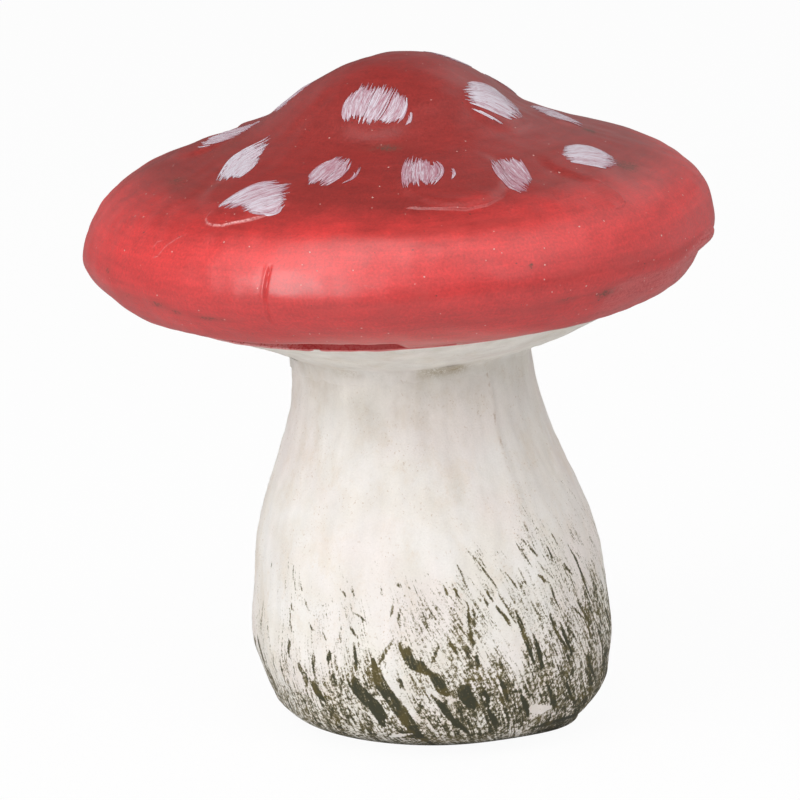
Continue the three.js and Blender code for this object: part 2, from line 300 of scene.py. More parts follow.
def spun(name, profile, steps, start=0.0, sweep=2 * math.pi, marks=None):
    """Turns a profile of radius and height, in millimetres, from a turn to the right of the front."""
    bpy.ops.object.select_all(action="DESELECT")
    bpy.ops.mesh.primitive_circle_add(vertices=len(profile), radius=1)
    piece = bpy.context.object
    piece.name = name
    radius, height = np.array(profile, float).T
    piece.data.vertices.foreach_set("co", around(radius, start, height).ravel())
    for kept_as, values in (marks or {}).items():
        mark(piece, kept_as, np.array(values, float))
    start_picking("VERT")
    piece.data.vertices.foreach_set("select", radius == 0)
    bpy.ops.object.mode_set(mode="EDIT")
    bpy.ops.mesh.select_mode(type="EDGE")
    bpy.ops.mesh.delete(type="EDGE_FACE")
    bpy.ops.object.mode_set(mode="OBJECT")
    turning = piece.modifiers.new("turning", "SCREW")
    turning.axis = "Z"
    turning.angle = sweep
    turning.steps = turning.render_steps = steps
    bpy.ops.object.modifier_apply(modifier=turning.name)
    bpy.ops.object.mode_set(mode="EDIT")
    bpy.ops.mesh.select_all(action="SELECT")
    bpy.ops.mesh.remove_doubles(threshold=0.0005)
    bpy.ops.mesh.fill_holes(sides=0)
    bpy.ops.mesh.select_all(action="SELECT")
    bpy.ops.mesh.normals_make_consistent(inside=False)
    bpy.ops.object.mode_set(mode="OBJECT")
    return piece


def places(piece):
    flat = np.empty(len(piece.data.vertices) * 3)
    piece.data.vertices.foreach_get("co", flat)
    return flat.reshape(-1, 3)


def marked(piece, name):
    values = np.empty(len(piece.data.vertices), np.float32)
    piece.data.attributes[name].data.foreach_get("value", values)
    return values.astype(float)


def mark(piece, name, values):
    """Keeps a number, or three, for each point of a piece, for its finish to read."""
    kind, field = ("FLOAT", "value") if values.ndim == 1 else ("FLOAT_VECTOR", "vector")
    found = piece.data.attributes.get(name) or piece.data.attributes.new(name, kind, "POINT")
    found.data.foreach_set(field, values.astype(np.float32).ravel())


def lean_cap(place):
    """From the cap's own frame to the ornament's, in millimetres."""
    x, y, z = place.T
    cos, sin = math.cos(cap_lean), math.sin(cap_lean)
    return np.stack([x * cos - z * sin, y, x * sin + z * cos + cap_height], axis=1)


def settle(piece, place, finish, slot, *nodes, sharp=40):
    """Puts a finished piece's points in their places and dresses it."""
    piece.data.vertices.foreach_set("co", (place * metre).ravel())
    piece.data.update()
    bpy.ops.object.select_all(action="DESELECT")
    piece.select_set(True)
    bpy.context.view_layer.objects.active = piece
    bpy.ops.object.shade_smooth_by_angle(angle=math.radians(sharp))
    piece.data.materials.clear()
    piece.data.materials.append(finish)
    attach(piece, "root")
    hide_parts(*nodes)


def uneven(place, size, seed, waves=40):
    """Smooth random unevenness of about -1 to 1, with swells of a size."""
    draw = np.random.default_rng(seed)
    way = draw.normal(size=(waves, place.shape[1]))
    way *= (2 * math.pi / size * draw.uniform(0.5, 1.5, waves) / np.linalg.norm(way, axis=1))[:, None]
    return np.cos(place @ way.T + draw.uniform(0, 2 * math.pi, waves)).sum(axis=1) * math.sqrt(2 / waves)


crown_outline = Outline(smooth_line(crown_points, from_axis=True))

# Turn, reach, radius, rise and edge of each wart. Its lower side stands out more.
warts = [
    (-13, 32, 14, 0.5, 6), (55, 37, 12, 0.9, 6), (15, 64.5, 18.7, 1.1, 4), (55, 69.5, 15.5, 0.6, 5),
    (-38, 68, 20, 0.8, 5), (-95, 61, 13, 1.1, 4), (94, 50, 12, 0.7, 5), (128, 37, 12, 1, 6),
    (-152, 35, 13, 1.1, 6), (-141, 62, 15, 1.3, 3), (168, 65, 16, 1.3, 4),
]

# Reach, turn, half its run down the slope, half its run across and height of each swelling that the press
# and the hands have left in the outline. A height below 0 makes a dent.
swellings = [
    (0, 0, 11, 11, -0.5), (37, 92, 8, 13, -2.2), (52, 94, 12, 16, -1.0), (100, 86, 7, 24, 1.6),
    (62, 103, 14, 14, -0.7), (44, 103, 8, 8, -0.5), (119.5, 77, 4.5, 16, -2.3), (90, -90, 9, 30, -1.0),
    (119, -92, 7, 34, 0.5),
]

# Step, paleness, half width and way, as reach and turn, of each fine line by a wart's edge or a scratch.
# The skin stands out by the step at the left of its way. On a scratch the paint is rubbed pale on the line
# itself; along a wart's edge the pale line is a painted highlight.
skin_lines = [
    (0.55, 1.0, 0.26, [(83.5, -42.6), (87, -41.9), (88.8, -40.4), (89.2, -38.8), (88.8, -36.5),
     (87.6, -35), (86, -32.5), (84, -30), (82.4, -28), (81, -25.8)]),
    (0.55, 0.08, 0.60, [(79.2, 1), (80.4, 5.2), (81.8, 10.2), (83, 15.2), (82.1, 19.8), (79.5, 24),
     (76.5, 26.5)]),
    (0.25, 0.22, 0.26, [(93.4, 45.5), (93.4, 48.5), (92.2, 50.2), (89.9, 50.6), (86.5, 50.6),
     (81.8, 50.3), (79, 49)]),
    (0.0, 0.9, 0.16, [(102, -50.6), (101, -49), (97.7, -47.6), (95.1, -45.6), (92.5, -43)]),
    (0.0, 0.8, 0.14, [(99.5, -51.2), (97.0, -50.4), (96.2, -48.8)]),
    (0.0, 0.7, 0.14, [(105.8, -6), (106.3, -4.6), (106.2, -3.4)]),
]
crease_turn = math.radians(-23.6)
crease_reach = (99.5, 119.0)
flash_turn = math.radians(77)
widest_reach = 111.0
scraped_back = 1.7
knob_push = 2.2
knob_foot = 14.0


def on_map(reach, turn):
    """A place on the flat map of the skin: reach from the top, and turn from the front in radians."""
    return np.stack([reach * np.sin(turn), -reach * np.cos(turn)], axis=-1)


def patch(reach, turn, middle_reach, middle_turn, down, across):
    """1 in the middle of a patch of skin, less and less towards its edge. Its turn is in degrees."""
    radius = np.maximum(crown_outline.at(middle_reach)[0], 0.01)
    apart = turn_from(turn, math.radians(middle_turn))
    return np.exp(-((reach - middle_reach) / down) ** 2 - (apart * radius / across) ** 2)


def dotted(nodes, step):
    """Places at most a step apart on the way over some nodes, and the share of the way to each."""
    walked = np.concatenate([[0], np.cumsum(np.linalg.norm(np.diff(nodes, axis=0), axis=1))])
    dots = np.linspace(0, walked[-1], int(walked[-1] / step) + 2)
    return np.stack([np.interp(dots, walked, side) for side in nodes.T], axis=1), dots / walked[-1]


def beside(reach, turn, way):
    """How far to the left of a way each place is, and how near: 1 on the way and 0 past its ends."""
    way = np.array(way, float)
    line, shares = dotted(on_map(way[:, 0], np.radians(way[:, 1])), 0.3)
    heading = np.gradient(line, axis=0)
    heading /= np.linalg.norm(heading, axis=1, keepdims=True)
    place = on_map(reach, turn)
    near = np.flatnonzero(((place > line.min(axis=0) - 9) & (place < line.max(axis=0) + 9)).all(axis=1))
    apart, fade = np.full(len(place), 99.0), np.zeros(len(place))
    away = place[near, None] - line[None]
    closest = np.linalg.norm(away, axis=2).argmin(axis=1)
    away = away[np.arange(len(near)), closest]
    ahead = heading[closest]
    apart[near] = away[:, 1] * ahead[:, 0] - away[:, 0] * ahead[:, 1]
    past = np.abs((away * ahead).sum(axis=1))
    share = shares[closest]
    fade[near] = smoothstep(share / 0.12) * smoothstep((1 - share) / 0.3) * np.exp(-((past / 1.0) ** 2))
    return apart, fade


def beaded(turn):
    """Where the slip under the lip was left as a bead, with a groove above it."""
    degrees = np.degrees(turn)
    return smoothstep((degrees + 66) / 14) * smoothstep((1.5 - degrees) / 4)


def crown_rise(reach, turn):
    """How far the skin stands out from the even outline."""
    place = on_map(reach, turn)
    rise = np.zeros(len(place))
    for wart_turn, wart_reach, radius, top, edge in warts:
        outwards = on_map(1.0, math.radians(wart_turn))
        away = place - wart_reach * outwards
        distance = np.linalg.norm(away, axis=1)
        down = away @ outwards
        inside = 1 - smoothstep((distance - radius + edge) / edge)
        rise += top * inside * smoothstep((down + radius) / (1.3 * radius))
    for *where, height in swellings:
        rise += height * patch(reach, turn, *where)
    for step, paleness_and_highlight, half_width, way in skin_lines:
        if step > 0:
            apart, fade = beside(reach, turn, way)
            stands = smoothstep(apart / 0.6 + 0.5) * np.exp(-((np.maximum(apart, 0) / 4.5) ** 2))
            rise += fade * (step * stands + 0.12 * np.exp(-((apart / 0.35) ** 2)))

    # The bowl under the rim hangs fuller at the right.
    to_lip = crown_outline.length - reach
    rise += 1.0 * np.maximum(np.sin(turn), 0) * smoothstep((reach - 114) / 9) * smoothstep((to_lip - 3) / 8)

    # A tool has cut a crease down the rim and scraped the clay back above the bead of slip. The mould's
    # flash stands out at the right, where the rim below it was shaved flat.
    radius, height = crown_outline.at(reach)
    across = radius * (turn - crease_turn) - 0.24 * ((reach - 109) / 5) ** 2
    along = smoothstep((reach - crease_reach[0]) / 2) * smoothstep((crease_reach[1] - reach) / 4)
    rise += along * (0.16 * np.exp(-(((across + 0.9) / 0.6) ** 2)) - 0.38 * np.exp(-((across / 0.5) ** 2)))
    rise -= beaded(turn) * scraped_back * smoothstep((15 - to_lip) / 12)
    across = radius * (turn - flash_turn)
    run_out, below = np.where(across < 0, 8.0, 2.4), np.where(reach > widest_reach, 5.0, 1.6)
    rise += 1.0 * np.exp(-((across / run_out) ** 2) - ((reach - widest_reach) / below) ** 2)
    on_skin = around(radius, turn, height)
    return rise + 0.16 * uneven(on_skin, 34, 3) + 0.05 * uneven(on_skin, 9, 4)


def lean_crown(place):
    """Pushes the knob aside, the more the higher, and leans the whole cap."""
    height = place[:, 2]
    place[:, 0] += knob_push * smoothstep((height - knob_foot) / 22)
    return lean_cap(place)


def crown_skin(reach, turn, above=0.0):
    """A point on the crown's skin, or a height above it."""
    radius, height = crown_outline.at(reach, -(crown_rise(reach, turn) + above))
    return lean_crown(around(radius, turn, height))


def refine(piece, chosen, cuts):
    """Cuts each chosen face into finer ones."""
    start_picking("FACE")
    piece.data.polygons.foreach_set("select", chosen)
    bpy.ops.object.mode_set(mode="EDIT")
    bpy.ops.mesh.subdivide(number_cuts=cuts)
    bpy.ops.object.mode_set(mode="OBJECT")


def face_means(piece, values):
    """A mark's mean over the corners of each face."""
    faces = piece.data.polygons
    corner = np.empty(len(piece.data.loops), int)
    first, count = np.empty((2, len(faces)), int)
    piece.data.loops.foreach_get("vertex_index", corner)
    faces.foreach_get("loop_start", first)
    faces.foreach_get("loop_total", count)
    return np.add.reduceat(values[corner], first) / count


upper_rings, lip_rings, inner_rings, crown_steps = 134, 28, 12, 480
lip_band = 16.0
outer_reach = np.concatenate([
    np.linspace(0, crown_outline.length - lip_band, upper_rings, endpoint=False),
    np.linspace(crown_outline.length - lip_band, crown_outline.length, lip_rings + 1),
])
inner_reach = np.linspace(crown_outline.length, 0, inner_rings + 1)
outer = np.stack(crown_outline.at(outer_reach), axis=1)
inner = np.stack(crown_outline.at(inner_reach, wall), axis=1)
outer[0, 0] = inner[-1, 0] = 0
crown = spun(
    "cap_crown_skin",
    [*outer, *inner],
    crown_steps,
    marks={"reach": [*outer_reach, *inner_reach], "inside": [0] * len(outer) + [1] * len(inner)},
)


def crown_faces():
    """Reach and turn of each face's middle, and whether the face lies on the outside."""
    x, y, _ = places(crown).T
    turn = np.arctan2(face_means(crown, x), face_means(crown, -y))
    return face_means(crown, marked(crown, "reach")), turn, face_means(crown, marked(crown, "inside")) == 0


centre_reach, centre_turn, outside = crown_faces()
by_crease = (np.abs(centre_turn - crease_turn) < 0.04) & (np.abs(centre_reach - np.mean(crease_reach)) < 10)
refine(crown, by_crease & outside, 3)
centre_reach, centre_turn, outside = crown_faces()
crisp = np.zeros(len(centre_turn), bool)
for *_, way in skin_lines:
    apart, fade = beside(centre_reach, centre_turn, way)
    crisp |= (np.abs(apart) < 1.3) & (fade > 0)
refine(crown, crisp & outside, 3)

crown_place = places(crown)
reach = marked(crown, "reach")
inside = marked(crown, "inside") > 0.001
turn = np.arctan2(crown_place[:, 0], -crown_place[:, 1])
crown_place = np.where(inside[:, None], lean_crown(crown_place), crown_skin(reach, turn))
mark(crown, "sweep", around(90, turn, reach))

# Reach, turn, half its run down the slope, half its run across and strength of each patch of grime.
# Some patches are painted shade, in the dome's valley and low on the rim.
darker_patches = [
    (47, -4.5, 2.2, 8, 0.75), (56, -78, 6, 9, 0.55), (70, -122, 5, 7, 0.5), (75, -66, 5, 15, 0.6),
    (72, -50, 4, 9, 0.35), (80, 64, 5.5, 9, 0.8), (86, 49, 2.5, 9, 0.45), (76, 60, 3, 10, 0.45),
    (62, 88, 3, 5, 0.8), (85, 78, 5, 12, 0.45), (90, 16, 2.5, 20, 0.45), (76, 42, 3, 6, 0.4),
    (109, 44, 2.5, 8, 0.4), (117.5, 40, 2.2, 7, 0.8), (118, 25, 2.5, 6, 0.45), (118, -37, 1.2, 8, 0.85),
    (113, -12, 2.0, 5, 0.45), (104, -40, 1.0, 7, 0.3), (116, -62, 1.5, 12, 0.5), (128, -15, 7, 25, 0.3),
    (113, -2, 2.5, 4, 0.5), (120, 14, 1.2, 16, 0.35), (72, 20, 5, 5, 0.2), (100, 165, 6, 25, 0.4),
    (70, 150, 5, 12, 0.5), (112, -150, 3, 20, 0.5), (60, -170, 4, 9, 0.5), (105, 110, 4, 14, 0.45),
    (109, 32, 2.0, 9, 0.45), (110, 47, 2.2, 10, 0.5), (111, 60, 1.8, 8, 0.4), (109, -64, 1.5, 2, 0.7),
    (114.5, -58, 1.6, 8, 0.6), (115, -48, 1.6, 5, 0.8), (117, -44, 1.2, 3, 0.8), (60, 47, 5, 7, 0.4),
    (79, 78, 4, 6, 0.5), (104.6, 24, 0.7, 0.8, 1.6), (110, 4, 2.5, 4, 0.5), (116.5, 31, 1.4, 5, 0.7),
]
grime_and_shade = np.zeros(len(reach))
for *where, strength in darker_patches:
    grime_and_shade = np.maximum(grime_and_shade, strength * patch(reach, turn, *where))
# Darker towards the lip, under the rim.
grime_and_shade = np.maximum(grime_and_shade, 0.35 * smoothstep((reach - 128) / 10))
mark(crown, "grime_and_shade", np.where(inside, 0, grime_and_shade))

# The shaved flat at the right, and other places where the red is rubbed thin, show the pale coat below it.
# The pale lines along the warts' edges are painted highlights.
degrees = np.degrees(turn)
flat_top = np.interp(
    degrees,
    [38, 39.5, 41, 46, 54, 60, 65, 72, 77, 84, 92],
    [132, 126, 116, 114.4, 115.4, 114.5, 111.8, 109.8, 110, 116, 130],
)
rubbed_and_lit = smoothstep(reach - flat_top + 0.5)
rubbed_and_lit *= smoothstep((degrees - 38) / 2)
rubbed_and_lit *= smoothstep((94 - degrees) / 6)
rubbed_and_lit *= 0.35 + 0.25 * smoothstep((degrees - 48) / 14)
# Pale lines: rubbed paint on the scratches, painted highlights along the warts' edges.
for _, paleness_and_highlight, half_width, way in skin_lines:
    apart, fade = beside(reach, turn, way)
    rubbed_and_lit = np.maximum(rubbed_and_lit, paleness_and_highlight * fade * np.exp(-((apart / half_width) ** 2)))
mark(crown, "rubbed_and_lit", np.where(inside, 0, rubbed_and_lit))

red_finish, red, red_shader = new_finish("red_paint")
here = red.place()
sweep = red.kept("sweep", "Vector")
reach_here = sweep.part("ShaderNodeSeparateXYZ", 2)
shade_and_dirt = red.kept("grime_and_shade")
worn_and_lit = red.kept("rubbed_and_lit")
patches = here.grain(26, 3)
clouds = here.grain(7, 4, 0.6)
fine = here.grain(0.8, 3, 0.65)
strokes = sweep.stretched((0.10, 0.10, 1)).grain(2.4, 3, 0.6)
hairs = sweep.stretched((0.06, 0.06, 1)).grain(0.5, 2, 0.6)
coat = (reach_here + (patches - 0.5) * 20 + (clouds - 0.5) * 14).between(73, 102)
base = coat.shade((0.315, 0.020, 0.016), (0.70, 0.034, 0.033))
# Painted shade: the red is darker on the lower rim, from a reach of 99 to 108 on.
base = reach_here.between(99, 108).shade(base, (0.60, 0.032, 0.032))
unevenness = (fine - 0.5) * 0.8 + (strokes - 0.5) * 0.5 + (hairs - 0.5) * 0.15 + (clouds - 0.5) * 0.3
base = base.scaled(unevenness + 1)
# Darker where marked: grime, and painted shade in the dome's valley, under the rim and in the groove.
blurred_dirt_and_shade = shade_and_dirt * (clouds + fine).between(0.7, 1.2) * 0.4
flecks = (shade_and_dirt * 1.6 + (fine - 0.5) * 2.4 + (clouds - 0.5) * 1.2 - 0.85).between(0, 0.6)
soiled_and_shaded = blurred_dirt_and_shade + flecks * 0.55
base = soiled_and_shaded.shade(base, (0.125, 0.048, 0.030))
# Paler where marked: the pale coat where the red is rubbed thin, painted highlights on the warts' edges,
# and painted light on the bead.
pale_coat_and_light = worn_and_lit.between(0.6, 1.0).shade((0.62, 0.175, 0.172), (0.78, 0.38, 0.37))
base = (worn_and_lit * (fine * 1.4 + hairs * 0.6).between(0.75, 1.15)).shade(base, pale_coat_and_light)
dust, dust_colour = (
    here.node("ShaderNodeTexVoronoi", {}, {"Vector": here, "Scale": 1 / 2.4}, output=index)
    for index in (0, 1)
)
pale_chance, dark_chance = (dust_colour.part("ShaderNodeSeparateColor", index) for index in (0, 1))
low_down = reach_here.between(70, 105)
dot = 1 - (dust + (fine - 0.5) * 0.35).between(0.05, 0.115)
specks = dot * (pale_chance + low_down * 0.16 + (clouds - 0.5) * 0.7).between(0.80, 0.86)
base = specks.shade(base, (0.70, 0.42, 0.38))
base = (dot * dark_chance.between(0.84, 0.88) * (1 - specks)).shade(base, (0.13, 0.035, 0.025))
chips = here.grain(1.3, 3, 0.7).between(0.72, 0.75) * here.grain(11, 2).between(0.52, 0.60) * low_down
base = chips.shade(base, (0.20, 0.085, 0.06))
base.feed(red_shader, "Base Color")
rough = 0.39 + (fine - 0.5) * 0.14 + (patches - 0.5) * 0.14 + worn_and_lit * 0.14 + soiled_and_shaded * 0.15
rough.feed(red_shader, "Roughness")
red_shader.inputs["Specular IOR Level"].default_value = 1.0
(fine * 0.8 + strokes * 0.3 - specks * 0.4).relief(red_shader, 0.00007)
settle(crown, crown_place, red_finish, "cap_red", "cap_crown")

# Plate: the cap's underside, a shallow cone of clay hung from the crown's lip and flat over the stalk. The
# strip of slip that lutes it to the lip is painted red with the crown, and the plate is whitewashed.
seat_radius = 35.2
shown_seat = 35.0
vent_radius = 12.0
neck_offset = 1.3
neck_centre = (seat_depth + joint) * math.sin(cap_lean) + neck_offset
lip, deeper = (np.array(crown_outline.at(crown_outline.length, depth)) for depth in (0.0, 1.0))
inwards = deeper - lip
onwards = np.array([inwards[1], -inwards[0]])


def off_lip(along, depth):
    return lip + along * onwards + depth * inwards


def profile_over(corners, counts):
    """Points of a profile over its corners, with a count of even steps from each corner to the next."""
    return [
        np.array(start) + (np.array(end) - start) * share
        for start, end, count in zip(corners, corners[1:], counts)
        for share in np.linspace(0, 1, count, endpoint=False)
    ]


plate_edge = off_lip(joint, 0)
plate_slope = math.atan2(shown_seat + plate_edge[1], plate_edge[0] - seat_radius)
seat_inner = seat_radius - wall * math.tan(plate_slope / 2)
corners = [
    (vent_radius, -shown_seat), (seat_radius, -shown_seat), plate_edge, off_lip(joint, wall),
    (seat_inner, wall - shown_seat), (vent_radius, wall - shown_seat), (vent_radius, -shown_seat),
]
counts = [12, 60, 4, 12, 6, 4]
profile = profile_over(corners, counts)
plate = spun("cap_underside_skin", profile, 360, marks={"along": range(len(profile))})
plate_place = places(plate)
along = marked(plate, "along")
outside = smoothstep((along - counts[0] - 1) / 4) * (1 - smoothstep((along - 68) / 4))
plate_place[:, 2] += outside * (0.16 * uneven(plate_place, 22, 11) + 0.06 * uneven(plate_place, 5, 12))
radius = np.hypot(plate_place[:, 0], plate_place[:, 1])
degrees = np.degrees(np.arctan2(plate_place[:, 0], -plate_place[:, 1]))
way_out = np.clip((radius - seat_radius) / (plate_edge[0] - seat_radius), 0, 1)
sag = 2.4 * np.exp(-(((degrees + 92) / 42) ** 2)) - 1.7 * np.exp(-(((degrees - 62) / 26) ** 2))
plate_place[:, 2] += sag * np.sin(math.pi * way_out)
plate_place[:, 0] += neck_offset * (1 - way_out)
plate_place = lean_cap(plate_place)


def whitewash(name, mossy):
    """Cream wash brushed on clay, with moss-coloured paint dry-brushed over it where it is marked."""
    material, wash, shader = new_finish(name)
    here = wash.place()
    mottle = here.grain(13, 4, 0.6)
    drawn = here.stretched((1, 1, 0.14)).grain(6, 3, 0.55)
    fine = here.grain(0.55, 3, 0.7)
    blush = here.grain(30, 2)
    ochre = here.stretched((1, 1, 0.6)).grain(9, 4, 0.65)
    grit = here.grain(0.7, 2, 0.6).between(0.63, 0.70) * here.grain(8, 2).between(0.42, 0.62)
    colour = mottle.between(0.3, 0.7).shade((0.83, 0.795, 0.73), (0.88, 0.86, 0.825))
    colour = (blush.between(0.45, 0.65) * 0.6).shade(colour, (0.86, 0.79, 0.76))
    colour = (ochre.between(0.50, 0.70) * 0.26).shade(colour, (0.76, 0.65, 0.51))
    freckles = here.grain(1.5, 3, 0.7).between(0.56, 0.70) * ochre.between(0.4, 0.6)
    colour = (freckles * 0.3).shade(colour, (0.73, 0.62, 0.50))
    colour = colour.scaled(1 + (drawn - 0.5) * 0.22 + (fine - 0.5) * 0.2)
    colour = (grit * 0.5).shade(colour, (0.50, 0.36, 0.23))
    # Darkened where marked: grime, and painted shade under the cap and down the stalk's right side.
    under_cap_shade_and_grime = wash.kept("under_cap_shade_and_grime") * (mottle * 0.6 + ochre * 0.6).between(0.35, 0.8)
    colour = (under_cap_shade_and_grime * 0.55).shade(colour, (0.52, 0.465, 0.395))
    # Darker brown in the crease round the neck.
    colour = (wash.kept("darker_in_crease") * (mottle + fine).between(0.75, 1.2)).shade(colour, (0.33, 0.25, 0.13))
    rough = 0.62 + (fine - 0.5) * 0.3
    if mossy:
        moss = wash.kept("moss")
        streaks = wash.kept("brush", "Vector").grain(0.8, 4, 0.66)
        speckle = here.grain(0.6, 4, 0.72)
        cells = here.node("ShaderNodeTexVoronoi", {}, {"Vector": here, "Scale": 1 / 1.3})
        in_stroke = wash.kept("stroke").between(-0.45, 0.3)
        left = (streaks * 0.5 + speckle * 0.5 - 0.5) * 19 + moss + in_stroke * 3.0
        left = left + (cells - 0.5) * moss.between(-1.2, 0.4) * 3.6
        broken = here.stretched((1, 1, 0.5)).grain(4, 4, 0.75)
        in_join = 1 - (wash.kept("join") + (speckle - 0.5) * 3).between(0.1, 0.9)
        pitted = in_join * broken.between(0.50, 0.66)
        colour = (pitted * 0.6).shade(colour, (0.42, 0.30, 0.20))
        caught = left.between(-0.7, 1.1)
        olive = here.grain(8, 3, 0.6).between(0.50, 0.64)
        thick = olive.shade((0.050, 0.050, 0.028), (0.105, 0.083, 0.026))
        paint = left.between(0.2, 2.6).shade((0.22, 0.18, 0.085), thick)
        colour = caught.shade(colour, paint)
    colour.feed(shader, "Base Color")
    rough.feed(shader, "Roughness")
    (drawn * 0.5 + fine * 0.5).relief(shader, 0.00014)
    shader.inputs["Specular IOR Level"].default_value = 0.35
    return material


def crease_darkening(place, height):
    """Darkening in the crease round the neck, heaviest a little to the right of the front."""
    turn = np.degrees(np.arctan2(place[:, 0] - neck_centre, -place[:, 1]))
    from_stalk = np.hypot(place[:, 0] - neck_centre, place[:, 1]) - 35.5
    round_it = 0.15 + 0.7 * np.exp(-(((turn - 19) / 11) ** 2)) + 0.22 * uneven(place, 12, 61)
    return np.clip(round_it, 0, 1) * np.exp(-((np.hypot(from_stalk, height) / 2.2) ** 2))


plain_wash = whitewash("whitewash_plain", mossy=False)
mark(plate, "darker_in_crease", 0.8 * crease_darkening(plate_place, 0))
# The plate is darkened all over: painted shade under the cap, with grime.
mark(plate, "under_cap_shade_and_grime", np.full_like(radius, 0.8))
settle(plate, plate_place, plain_wash, "whitewash", "cap_underside")

rim_corners = [off_lip(0, 0), off_lip(0, wall), off_lip(joint, wall), off_lip(joint, 0), off_lip(0, 0)]
rim_slip = spun("rim_slip_bead", profile_over(rim_corners, [3, 2, 3, 10]), 480)
rim_place = places(rim_slip)
radius = np.hypot(rim_place[:, 0], rim_place[:, 1])
from_lip = np.stack([radius - lip[0], rim_place[:, 2] - lip[1]], axis=1)
share, deep = from_lip @ onwards / joint, from_lip @ inwards
smear = smoothstep(share) * (1 - smoothstep(deep / 1.5)) * (0.35 + 0.2 * uneven(rim_place, 16, 51))
turn = np.arctan2(rim_place[:, 0], -rim_place[:, 1])
nick = np.exp(-(((np.degrees(turn) + 20.8) / 0.8) ** 2))
sunk = beaded(turn) * scraped_back * (1 - np.clip(share, 0, 1))
round_top = np.sqrt(np.clip(4 * share * (1 - share), 0, 1))
fullness = 0.15 + beaded(turn) * (0.20 + 0.08 * uneven(rim_place, 9, 52)) - 0.9 * nick + sunk
bead = (round_top * fullness - sunk) * (deep < 0.01)
rim_place[:, :2] *= (1 + (smear * onwards[0] - bead * inwards[0]) / radius)[:, None]
rim_place[:, 2] += smear * onwards[1] - bead * inwards[1]
at_lip = np.full_like(radius, crown_outline.length)
mark(rim_slip, "sweep", np.stack([rim_place[:, 0], rim_place[:, 1], at_lip], axis=1))
# Painted shade: the bead is darker just under the crown's edge, in the groove above it.
mark(rim_slip, "grime_and_shade", 0.1 + 1.2 * beaded(turn) * np.exp(-(((share - 0.1) / 0.16) ** 2)))
# Painted light: the bead is paler low down, where the crown's overhang keeps the lamps off it, and paler
# still at the left, where whitewash was smeared on it.
degrees = np.degrees(turn)
at_left = smoothstep((-21 - degrees) / 9) * smoothstep((degrees + 60) / 12)
mark(rim_slip, "rubbed_and_lit", 0.2 + (0.45 + 0.25 * at_left) * smoothstep((share - 0.3) / 0.3))
settle(rim_slip, lean_cap(rim_place), red_finish, "cap_red", "rim_slip")

# Dabs: white paint stroked on the red with a flat brush, each a bundle of bristle marks with ragged ends. A
# guide gives a bristle's start, middle and end as steps to the right and down the slope, in millimetres.
dab_guides = [
    [[(-8.6, 5.7, -9.4, 0.0, -8.6, -4.9), (-6.2, 5.1, -6.4, -2.1, -5.1, -9.2),
     (-3.6, 6.9, -2.7, -0.8, -1.8, -8.5), (0.2, 7.4, 1.8, 1.3, 3.2, -7.0),
     (4.3, 7.7, 6.5, 2.3, 6.8, -4.6), (8.1, 6.1, 9.0, 2.0, 8.4, -2.4)],
     [(10.2, 7.0, 10.8, 4.7, 10.4, 1.8)]],
    [[(1.3, -9.7, 9.9, -7.9, 14.9, -2.8), (-3.3, -7.5, 4.7, -2.8, 8.7, 4.9),
     (-5.7, -5.6, 0.1, 0.8, 3.8, 7.5), (-7.3, -3.1, -3.8, 2.6, -0.2, 8.0)],
     [(-8.2, -1.3, -6.6, 3.3, -5.1, 8.2)]],
    [[(2.6, 8.8, -6.8, -2.0, -5.0, -12.4), (7.3, 9.7, 1.2, 0.0, 0.2, -9.4),
     (9.2, 7.1, 5.7, 1.2, 3.2, -4.7), (11.3, 7.0, 10.1, 3.1, 8.0, -0.9)]],
    [[(-8.3, 4.2, -6.2, -5.2, -0.3, -9.2), (-7.1, 5.2, -2.0, -2.8, 5.4, -8.3),
     (-2.3, 5.2, 2.7, -0.6, 8.1, -6.0), (1.3, 6.4, 5.3, 1.9, 9.5, -1.8),
     (4.3, 6.9, 8.7, 5.0, 10.4, 0.4), (6.9, 6.4, 10.7, 5.0, 10.9, 1.8)]],
    [[(-6.2, 3.4, -5.8, -2.0, -3.6, -5.9), (-3.9, 7.7, -3.5, -0.1, -0.8, -6.9),
     (-1.8, 6.4, -0.2, 0.1, 1.4, -6.9), (0.5, 8.1, 3.4, 2.2, 3.4, -5.3)],
     [(5.4, 6.4, 7.1, 3.0, 6.9, -2.8)]],
    [[(-6.0, 6.5, -5.8, -1.0, -4.0, -8.6), (-3.9, 8.2, -3.1, -0.7, -1.5, -9.0),
     (-0.8, 7.4, -0.7, -1.2, 0.4, -8.1), (0.8, 7.4, 2.2, 1.0, 2.5, -5.3),
     (2.7, 7.7, 5.7, 0.5, 4.5, -4.9)], [(7.8, 5.7, 8.6, 2.1, 8.2, -1.0)]],
    [[(-2.2, -7.8, -3.9, 2.3, -1.5, 9.6), (0.5, -8.3, -0.6, 1.2, 0.9, 9.0),
     (3.6, -8.4, 3.4, -1.5, 3.8, 5.7), (6.4, -8.4, 6.3, -2.9, 5.2, 4.2),
     (8.2, -7.8, 7.1, -2.1, 5.5, 4.4)]],
    [[(0.2, -7.8, 8.4, -5.8, 8.7, 0.5), (-4.6, -6.0, 3.5, -2.4, 7.9, 3.5),
     (-6.7, -4.7, -1.1, 0.9, 4.9, 6.5), (-7.7, -3.1, -3.7, 2.5, 0.9, 8.1),
     (-9.4, -1.0, -6.7, 3.4, -3.7, 8.0)]],
]

